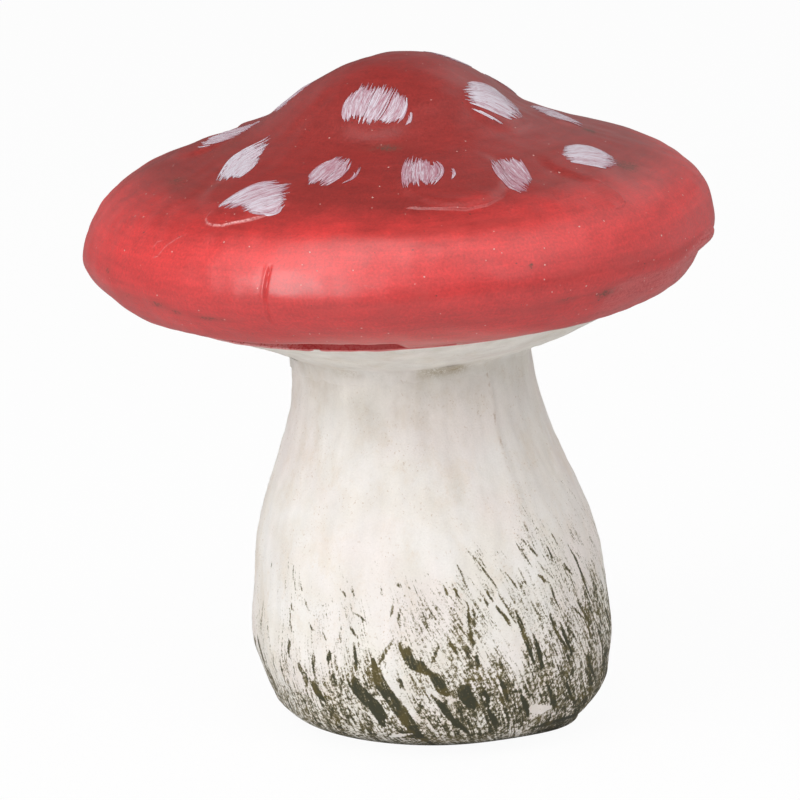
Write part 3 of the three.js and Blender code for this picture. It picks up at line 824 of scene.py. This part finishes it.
# Turn and reach of each dab's middle, the bundle of guides that it follows, its size and its twist. Some
# dabs' paint is thinner than the others', or thicker where the number is below 0.
dabs = [
    (-13, 30, 0, 1, 0), (55, 35.5, 1, 1, 0), (-58, 59, 2, 1, 0), (-35, 76, 3, 1, 0), (-20, 59, 4, 1, 0),
    (7, 62, 5, 1, 0), (30, 68.5, 6, 1, 0), (59, 70, 7, 1, 0), (-95, 55, 0, 0.86, 20), (-99, 34, 5, 0.8, 10),
    (126, 18.2, 0, 0.8, -33), (96, 53, 1, 0.9, 12), (131, 39, 0, 0.85, -12), (-152, 34, 4, 1.1, 18),
    (-141, 59, 5, 0.95, -25), (172, 62, 0, 0.85, 8), (139, 60, 7, 0.85, 30), (-164, 78, 6, 1, -10),
    (157, 79, 3, 0.85, 22), (-141, 80, 2, 0.8, 15),
]
thin_dabs = {1: 0.02, 2: -0.03, 3: -0.05, 5: 0.09, 6: 0.08, 7: 0.09, 8: -0.03}
bristle_pitch = 0.36
bristle_cuts = 10
dab_finish, dab, dab_shader = new_finish("dab_paint")
bristle = dab.kept("bristle", "Vector")
streak = bristle.stretched((1, 0.07, 1)).grain(0.22, 3, 0.6)
cover = bristle.stretched((0.5, 0.25, 1)).grain(1.5, 3)
loaded = (streak * 0.7 + cover * 0.3 + dab.kept("load")).between(0.34, 0.60)
loaded.shade((0.44, 0.20, 0.25), (0.69, 0.635, 0.705)).feed(dab_shader, "Base Color")
dab_shader.inputs["Roughness"].default_value = 0.5
streak.relief(dab_shader, 0.00003)

for number, (dab_turn, dab_reach, bundle, size, twist) in enumerate(dabs, 1):
    draw = np.random.default_rng(100 + number)
    dab_turn, twist = math.radians(dab_turn), math.radians(twist)
    bristles = []
    for group in dab_guides[bundle]:
        guides = np.array(group).reshape(len(group), 3, 2) * size
        if len(guides) == 1:
            run = guides[0][2] - guides[0][0]
            for offset, start, end in ((-0.3, 0.0, 0.30), (0, 0.06, 0.05), (0.3, 0.2, 0.0)):
                bristles.append((guides[0] + (offset, 0) + np.outer((start, 0, -end), run), 0.36))
            continue
        for first, second in zip(guides, guides[1:]):
            count = max(2, round(np.linalg.norm(second - first, axis=1).max() / bristle_pitch))
            for share in np.arange(count) / count:
                middle = first + (second - first) * (share + draw.uniform(-0.5, 0.5) / count)
                run = middle[2] - middle[0]
                middle = middle + draw.normal(0, 0.10, 2)
                middle[0] += run * draw.uniform(-0.08, 0.16)
                middle[2] -= run * draw.uniform(-0.08, 0.16)
                bristles.append((middle, draw.uniform(0.25, 0.85)))
        bristles.append((guides[-1], 0.6))
    bpy.ops.object.select_all(action="DESELECT")
    bpy.ops.mesh.primitive_grid_add(x_subdivisions=3, y_subdivisions=bristle_cuts, size=1)
    paint = bpy.context.object
    paint.name = f"paint_dab_{number}_bristles"
    bpy.ops.object.mode_set(mode="EDIT")
    for _ in bristles[1:]:
        bpy.ops.mesh.primitive_grid_add(x_subdivisions=3, y_subdivisions=bristle_cuts, size=1)
    bpy.ops.object.mode_set(mode="OBJECT")
    flat = places(paint).reshape(len(bristles), -1, 3)
    outwards = on_map(1.0, dab_turn)
    sideways = np.array([-outwards[1], outwards[0]])
    stretch = dab_reach / crown_outline.at(dab_reach)[0]
    laid = []
    stroke_marks = []
    loads = []
    for (path, width), grid in zip(bristles, flat):
        across, share = grid[:, 0] * 2, grid[:, 1] + 0.5
        start, middle, end = path
        line = (
            np.outer((1 - share) * (1 - 2 * share), start)
            + np.outer(4 * share * (1 - share), middle)
            + np.outer(share * (2 * share - 1), end)
        )
        heading = (
            np.outer(4 * share - 3, start)
            + np.outer(4 - 8 * share, middle)
            + np.outer(4 * share - 1, end)
        )
        heading /= np.linalg.norm(heading, axis=1, keepdims=True)
        begun = share / draw.uniform(0.05, 0.25)
        to_end = (1 - share) / draw.uniform(0.08, 0.35)
        taper = np.minimum(1, np.minimum(begun, to_end))
        half = np.maximum(width / 2 * taper**0.7, 0.03)
        line = line + (across * half)[:, None] * np.stack([heading[:, 1], -heading[:, 0]], axis=1)
        right = line[:, 0] * math.cos(twist) - line[:, 1] * math.sin(twist)
        down = line[:, 0] * math.sin(twist) + line[:, 1] * math.cos(twist)
        spot = dab_reach * outwards + down[:, None] * outwards + (right * stretch)[:, None] * sideways
        thick = draw.uniform(0.02, 0.05) + 0.03 * (1 - across**2) * taper
        laid.append(crown_skin(np.hypot(*spot.T), np.arctan2(spot[:, 0], -spot[:, 1]), thick))
        hair = across * half + draw.uniform(0, 50)
        along = share * np.linalg.norm(end - start)
        stroke_marks.append(np.stack([hair, along, np.full(len(share), draw.uniform(0, 50))], axis=1))
        loads.append(draw.normal(0, 0.035) - thin_dabs.get(number, 0) - 0.05 * share**3)
    mark(paint, "bristle", np.vstack(stroke_marks))
    mark(paint, "load", np.concatenate(loads))
    paint.data.vertices.foreach_set("co", (np.vstack(laid) * metre).ravel())
    thickness = paint.modifiers.new("thickness", "SOLIDIFY")
    thickness.thickness = 0.00012
    thickness.offset = -1
    bpy.ops.object.modifier_apply(modifier=thickness.name)
    settle(paint, places(paint) / metre, dab_finish, "dab_paint", f"paint_dab_{number}", sharp=60)

# Stalk: two pressed halves of clay, luted along an upright join with a strip of slip and trimmed flat on
# top. It leans, and its foot is rounded under except at the right, where the wall was cut off sharply.
stalk_points = [
    (41, 0), (48.1, 8), (51.8, 18), (53.1, 32), (47.6, 64), (42.1, 80), (36.6, 96), (35, 109), (35, 112.9),
]
neck_depth = shown_seat + slip_thickness
seam_turn = math.radians(38)
mean_radius = 50.0
brushed_radius = 51.0
flat_radius = 51.5
seam_half = slip_thickness / 2 / mean_radius
stalk_line = smooth_line(stalk_points)
stalk_walk = Outline(stalk_line)
half_steps = 420
slip_steps = 4


def stalk_radius(height, depth=0.0):
    """The stalk's radius at a height, less a depth of clay square to its wall."""
    radius = np.interp(height, stalk_line[:, 1], stalk_line[:, 0])
    slope = np.interp(height + 0.1, stalk_line[:, 1], stalk_line[:, 0]) - radius
    return radius - depth * np.hypot(1, slope / 0.1)


def lean_stalk(place):
    """Leans the stalk to the left as it rises, and rounds its foot under."""
    x, y, z = place.T
    low, risen = np.clip(1 - z / 8, 0, 1), np.clip(z / neck_height, 0, 1)
    tucked = 0.19 + 0.08 * np.exp(-(((np.degrees(np.arctan2(x, -y)) - 38) / 28) ** 2))
    fuller = np.where(x > 0, 1.2, 0.96) * smoothstep((np.abs(x) - 10) / 40)
    x = x + fuller * np.exp(-(((z - 12) / 7) ** 2))
    x = x + neck_centre + 6.9 * (1 - risen**1.95) + 2.2 * low**3
    slanted_top = cap_height - neck_depth / math.cos(cap_lean) + x * math.tan(cap_lean)
    z = z + (slanted_top - neck_height) * smoothstep((z - 84) / 25)
    return np.stack([x, y * (1 - tucked * low**2), z], axis=1)


def stalk_rise(turn, height):
    """How far the skin stands out: soft upright furrows from the potter's hands, a ridge along the join."""
    upright = around(mean_radius, turn, 0.22 * height)
    plain = around(mean_radius, turn, height)
    rise = 0.28 * uneven(upright, 24, 21) + 0.10 * uneven(upright, 8, 22) + 0.05 * uneven(plain, 5, 23)
    for middle in (seam_turn, seam_turn - math.pi):
        across = mean_radius * turn_from(turn, middle)
        rise += 0.30 * np.exp(-((across / 2.2) ** 2)) - 0.12 * np.exp(-(((across - 3.0) / 1.4) ** 2))
    rise += 1.0 * np.exp(-(((height - 54) / 11) ** 2))
    return rise * smoothstep(height / 5) * smoothstep((109 - height) / 8)


fringe = np.interp(66, stalk_walk.line[:, 1], stalk_walk.reach)
neck_reach = np.interp(neck_height, stalk_walk.line[:, 1], stalk_walk.reach)
outer_heights = np.interp(
    np.concatenate([np.linspace(0, fringe, 165, endpoint=False), np.linspace(fringe, neck_reach, 36)]),
    stalk_walk.reach,
    stalk_walk.line[:, 1],
)
inner_heights = np.linspace(neck_height, 0, 14)
stalk_profile = [
    *np.stack([stalk_radius(outer_heights), outer_heights], axis=1),
    *np.stack([stalk_radius(inner_heights, wall), inner_heights], axis=1),
]
stalk_inside = [0] * len(outer_heights) + [1] * len(inner_heights)

# Moss-coloured paint, dry-brushed up from the foot. Each stroke that shows has its width and then its way
# over the clay: turn from the front to the right in degrees, and height in millimetres.
moss_strokes = [
    (4.2, -25, 24.8, -22, 18.4, -16, 10.6), (3.6, -20, 31.4, -17, 24.6, -10, 16.2, -2, 3.8),
    (3.1, -8, 35.6, -5, 28.8), (2.1, -5, 31.6, -1, 27.6), (1.0, -12, 37.6, -15, 34, -17, 30.2),
    (1.9, -46, 26.4, -44, 19.8), (2.5, -42, 21.4, -38, 16), (1.1, -51, 32.6, -51, 27.2),
    (0.7, -44, 45.8, -42, 42.6), (0.7, -50, 43.4, -49, 41), (0.6, -30, 39.8, -30, 35.4),
    (1, -34, 32.2, -34, 28.6), (0.8, -25, 36, -25, 27.6), (0.8, -16, 52.4, -15, 50),
    (0.8, -10, 54.2, -9, 53), (0.8, -12, 48.2, -13, 43.8), (0.7, -10, 46.8, -10, 40.8),
    (0.5, -26, 52, -25, 49), (0.5, -30, 51, -28, 48.8), (0.5, -63, 53, -64, 50),
    (0.5, -50, 55, -48, 46.2), (0.5, -46, 50.8, -45, 48), (0.6, -25, 44.4, -22, 42.6),
    (0.7, -27, 40.2, -24, 37.2), (0.8, -10, 37.2, -9, 33.2), (1.1, -11, 26.4, -9, 23),
    (0.8, -40, 31.4, -40, 25.4), (0.6, -28, 26, -26, 19.6), (0.7, -33, 25.8, -32, 21.8),
    (0.5, -36, 37.4, -35, 35), (0.6, -42, 39.2, -40, 37), (0.5, -51, 41.6, -50, 35.2),
    (2.1, -11, 8.8, -2, 5.8), (0.9, 56, 59.6, 58, 55, 60, 50, 64, 42.2), (0.6, 37, 61.8, 40, 58.8),
    (0.5, 45, 61.4, 46, 56.6), (0.8, 51, 54.8, 54, 51.2), (0.9, 38, 54, 42, 51),
    (0.5, 42, 51, 46, 41.6), (0.5, 39, 57.6, 44, 52.2), (0.7, 23, 51, 25, 46.4, 28, 41.4),
    (0.8, 22, 46.8, 26, 40.6), (0.5, 19, 51.2, 21, 48), (0.5, 5, 53.6, 6, 49.6),
    (0.5, 8, 52.8, 10, 49.6), (0.6, 12, 48.6, 13, 35.8), (1.3, 28, 44.8, 30, 39.4, 32, 33.8, 33, 28.4),
    (1.3, 34, 37.2, 36, 26.4), (0.8, 41, 42.2, 42, 37.8), (0.8, 42, 37.8, 47, 30.8),
    (0.8, 45, 38.6, 49, 29), (0.7, 2, 36.6, 0, 31.2), (3.3, -1, 28, 5, 21.4), (3.6, 10, 24.4, 12, 17),
    (1.9, -1, 21.4, 4, 15.4, 12, 8.8), (1.9, 35, 7.4, 49, 7, 73, 5.2), (0.6, 18, 49, 19, 46.6),
    (0.6, 14, 47.4, 14, 41.4), (0.7, 55, 42.8, 60, 36.2, 60, 31.2), (0.5, 52, 42.2, 58, 36.8),
    (0.5, 49, 64, 51, 60), (0.5, 32, 64, 37, 56.2), (0.5, 35, 64.4, 37, 62.2),
    (0.5, 26, 56.4, 30, 51.2), (0.5, 18, 58.6, 23, 51.8), (0.5, 10, 59.4, 13, 52.2),
    (0.8, 47, 20.4, 53, 11.8), (1, 56, 27.2, 64, 17.4), (0.8, 66, 32.4, 72, 22), (1.1, 16, 23, 18, 17),
    (1.2, 18, 16.4, 21, 10), (1, 21, 25.6, 24, 19), (0.8, 14, 33.8, 14, 28.8),
    (1.3, 29, 19.4, 32, 12.2), (0.9, 38, 22.2, 43, 12.2),
]
shown_turns = (-72, 76)

# Where the paint was scraped off the foot again.
scraped_marks = [(0.7, -15.8, 6.6, -11.5, 7.6, -7.3, 8.4), (2.2, 32, 14.6, 36.5, 13.6, 41, 13.4)]


def brush_lean(turn):
    """How far the brush leaned from upright at a turn, in degrees: its strokes rise to the left."""
    turns = [-180, -120, -80, -60, -25, 0, 30, 60, 120, 180]
    return np.interp(np.degrees(turn), turns, [16, 9, 0, -3, 14, 28, 20, 24, 12, 16])


def random_strokes(count, seed):
    """More strokes of the same kind, for the sides and the back that the photograph doesn't show."""
    draw = np.random.default_rng(seed)
    strokes = []
    while len(strokes) < count:
        turn = draw.uniform(-180, 180)
        if shown_turns[0] < turn < shown_turns[1]:
            continue
        height = 8 + 50 * draw.beta(1.3, 1.8)
        length = draw.uniform(3, 11)
        lean = math.radians(brush_lean(math.radians(turn)) + draw.normal(0, 6))
        width = draw.uniform(0.5, 1.0) if height > 32 or draw.random() < 0.6 else draw.uniform(1.0, 3.6)
        end_turn = turn + math.degrees(length * math.sin(lean) / brushed_radius)
        strokes.append((width, turn, height, end_turn, height - length * math.cos(lean)))
    return strokes


def on_flat(turn, height):
    """A place on the stalk's skin laid flat, in millimetres."""
    climbed = np.interp(height, stalk_walk.line[:, 1], stalk_walk.reach)
    return np.stack([turn * flat_radius, climbed], axis=-1)


def into_stroke(turn, height, strokes):
    """How far inside a stroke each place is, in millimetres, or how far outside as a negative depth."""
    flat = on_flat(turn, height)
    deepest = np.full(len(turn), -0.6)
    draw = np.random.default_rng(77)
    for width, *way in strokes:
        way = np.array(way, float).reshape(-1, 2)
        line, share = dotted(on_flat(np.radians(way[:, 0]), way[:, 1]), 0.25)
        line[:, 0] += 0.25 * width * np.sin(share * draw.uniform(3, 9) + draw.uniform(0, 6))
        half = width / 2 * np.minimum(1, 0.25 + 1.6 * np.minimum(share / 0.5, (1 - share) / 0.7))
        near = np.flatnonzero(
            (np.abs(flat[:, 0] - line[:, 0].mean()) < np.ptp(line[:, 0]) / 2 + width + 1)
            & (np.abs(flat[:, 1] - line[:, 1].mean()) < np.ptp(line[:, 1]) / 2 + width + 1)
        )
        apart = np.linalg.norm(flat[near, None] - line[None], axis=2)
        deepest[near] = np.maximum(deepest[near], (half - apart).max(axis=1))
    return deepest


def moss_cover(turn, height):
    """How much paint the dry brush left beside its heavier strokes: half the clay at 0, none at -4."""
    degrees = np.degrees(turn)
    top = np.interp(
        degrees,
        [-180, -100, -60, -20, 10, 45, 75, 130, 180],
        [58, 54, 54, 53, 55, 67, 72, 64, 58],
    )
    cover = np.interp(
        height / top,
        [0, 0.08, 0.22, 0.38, 0.52, 0.68, 0.84, 1, 1.12, 1.3],
        [0.8, 0.6, 0.25, -0.3, -0.8, -1.3, -1.8, -2.4, -3.2, -6],
    )
    at_sides = np.interp(
        degrees,
        [-180, -110, -45, -10, 12, 28, 45, 60, 75, 130, 180],
        [0.3, 0.2, 0, 0.1, 0.3, 0.3, 0.8, 1.1, 0.95, 0.6, 0.3],
    )
    front = np.exp(-(((degrees - 6) / 32) ** 2)) * smoothstep((height - 14) / 8)
    cover += at_sides * (1 - 0.5 * smoothstep((height - 36) / 14)) + 0.5 * front
    cover -= 4.5 * smoothstep(into_stroke(turn, height, scraped_marks) / 0.4 + 1)
    on_clay = around(mean_radius, turn, 0.4 * height)
    cover += 0.34 * uneven(on_clay, 13, 31) + 0.35 * uneven(on_clay, 5, 32)
    bare = np.interp(degrees, [-180, -110, -75, -58, -45, 180], [0, 0, -0.4, -0.3, 0, 0])
    return cover + bare * smoothstep(height / 12)


mossy_wash = whitewash("whitewash_mossy", mossy=True)
all_strokes = moss_strokes + random_strokes(150, 5)


def stalk_part(name, node, start, sweep, steps):
    part = spun(name, stalk_profile, steps, start, sweep, marks={"inside": stalk_inside})
    place = places(part)
    inside = marked(part, "inside") > 0.5
    turn = np.arctan2(place[:, 0], -place[:, 1])
    height = place[:, 2].copy()
    rise = np.where(inside, 0, stalk_rise(turn, height))
    place[:, 0] += rise * np.sin(turn)
    place[:, 1] -= rise * np.cos(turn)
    lean = np.radians(brush_lean(turn))
    twisted = turn + (height - 20) * np.tan(lean) / brushed_radius
    mark(part, "brush", around(brushed_radius, twisted, 0.12 * height))
    mark(part, "moss", np.where(inside, 0, moss_cover(turn, height)))
    mark(part, "stroke", np.where(inside, -0.6, into_stroke(turn, height, all_strokes)))
    apart = [np.abs(turn_from(turn, middle)) for middle in (seam_turn, seam_turn - math.pi)]
    mark(part, "join", mean_radius * np.minimum(*apart) + 1.5 * smoothstep((66 - height) / 15))
    place = lean_stalk(place)
    neck_top = cap_height - neck_depth / math.cos(cap_lean) + slip_thickness
    below = neck_top + place[:, 0] * math.tan(cap_lean) - place[:, 2]
    mark(part, "darker_in_crease", np.where(inside, 0, 0.8 * crease_darkening(place, below)))
    # Darker near the neck, under the cap, and down the right side: painted shade, with grime.
    neck_shade_and_grime = 1.1 * smoothstep((height - 86) / 20) * (0.60 + 0.35 * np.cos(turn + 0.6))
    mark(part, "under_cap_shade_and_grime", neck_shade_and_grime + 0.25 * smoothstep((np.degrees(turn) - 35) / 30) * (turn < 2))
    settle(part, place, mossy_wash, "whitewash", node)


half_turn, strip_turn = math.pi - 2 * seam_half, 2 * seam_half
far_turn = seam_turn + math.pi
stalk_part("stalk_half_right_skin", "stalk_half_right", seam_turn + seam_half, half_turn, half_steps)
stalk_part("stalk_half_left_skin", "stalk_half_left", far_turn + seam_half, half_turn, half_steps)
stalk_part("seam_slip_front_strip", "seam_slip_front", seam_turn - seam_half, strip_turn, slip_steps)
stalk_part("seam_slip_back_strip", "seam_slip_back", far_turn - seam_half, strip_turn, slip_steps)

# Neck slip: the ring of luting clay between the stalk's cut top and the plate, smoothed into both with a
# wet thumb. The crease below it is darker.
seat = -shown_seat
neck_profile = [
    (29, seat - 1.2), (29, seat), *((radius, seat) for radius in np.linspace(30.5, 36, 7)),
    (37.0, seat + 0.12), (36.3, seat - 0.12), (35.85, seat - 0.45), (35.6, seat - 0.95),
    (35.45, seat - 1.6), (35.35, seat - 2.4), (35.25, seat - 3.4), (35.1, seat - 4.5),
    (34.7, seat - 5.0), (34.2, seat - 4.6), (34.2, seat - 1.2),
]
neck_slip = spun("neck_slip_bead", neck_profile, 360)
neck_place = places(neck_slip)
radius = np.hypot(neck_place[:, 0], neck_place[:, 1])
neck_place[:, 0] += neck_offset
past_seat = np.maximum(radius - seat_radius, 0)
neck_place[:, 2] += past_seat * math.tan(plate_slope) * smoothstep((radius - 35.4) / 0.9)
outside = smoothstep((radius - 34.9) / 0.2)
neck_place[:, :2] *= (1 + 0.12 * outside * uneven(neck_place, 7, 62) / radius)[:, None]
height = np.maximum(seat - neck_place[:, 2], 0)
neck_place = lean_cap(neck_place)
mark(neck_slip, "darker_in_crease", 0.8 * crease_darkening(neck_place, height))
# The neck slip is darkened all over: painted shade under the cap, with grime.
mark(neck_slip, "under_cap_shade_and_grime", np.full_like(height, 0.8))
settle(neck_slip, neck_place, plain_wash, "whitewash", "neck_slip")

# Foot slab and the slip round it: bare fired clay, which shows only from underneath.
clay_finish, clay, clay_shader = new_finish("raw_clay")
clay_here = clay.place()
clay_patches = clay_here.grain(12, 4)
clay_fine = clay_here.grain(0.6, 4, 0.7)
clay_colour = clay_patches.between(0.3, 0.7).shade((0.50, 0.22, 0.12), (0.62, 0.30, 0.18))
clay_colour.scaled(1 + (clay_fine - 0.5) * 0.5).feed(clay_shader, "Base Color")
(0.85 + (clay_fine - 0.5) * 0.2).feed(clay_shader, "Roughness")
(clay_fine * 0.7 + clay_patches * 0.3).relief(clay_shader, 0.0002)
for node in ("foot_slab", "foot_slip"):
    bpy.data.objects[node].data.materials.clear()
    bpy.data.objects[node].data.materials.append(clay_finish)
